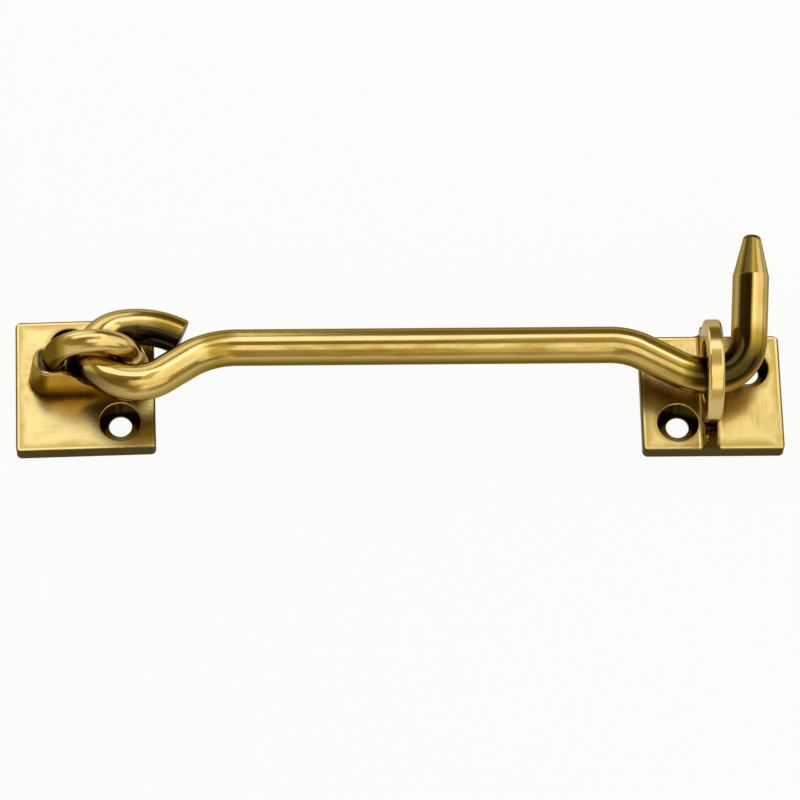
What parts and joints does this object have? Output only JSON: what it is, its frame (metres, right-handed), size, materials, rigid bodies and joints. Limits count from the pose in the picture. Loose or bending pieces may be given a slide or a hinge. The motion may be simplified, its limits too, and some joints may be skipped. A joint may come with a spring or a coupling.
{
  "type": "gate hook",
  "caption": "Brass gate hook: a round bar with an eye looped through a staple plate and a cranked, tapered pin held in a ringed keeper plate.",
  "frame": {"origin": "middle of the staple's arch, on the staple plate's mounting face", "axes": "+X along the bar towards the keeper, +Y the way the pin points, +Z away from the mounting surface"},
  "size_m": [0.1684, 0.0453, 0.0247],
  "materials": {
    "staple_plate": "antique brass, brushed plate with dark patina in the corners",
    "hook": "antique brass, satin bar with a grey cut end",
    "keeper_plate": "antique brass, brushed plate with dark patina in the corners"
  },
  "bodies": {
    "staple": {"staple_plate": "staple_plate"},
    "hook": {"hook": "hook"},
    "keeper": {"keeper_plate": "keeper_plate"}
  },
  "joints": [
    {"name": "eye_swing", "type": "hinge", "parent": "staple", "child": "hook", "pos_m": [0.0086, 0.00022, 0.0135], "axis": [0, 0.2588, 0.9659], "range_deg": [-85, 0]},
    {"name": "keeper_turn", "type": "hinge", "parent": "hook", "child": "keeper", "pos_m": [0.13466, -0.00452, 0.01338], "axis": [1, 0, 0], "range_deg": [-180, 22]}
  ]
}
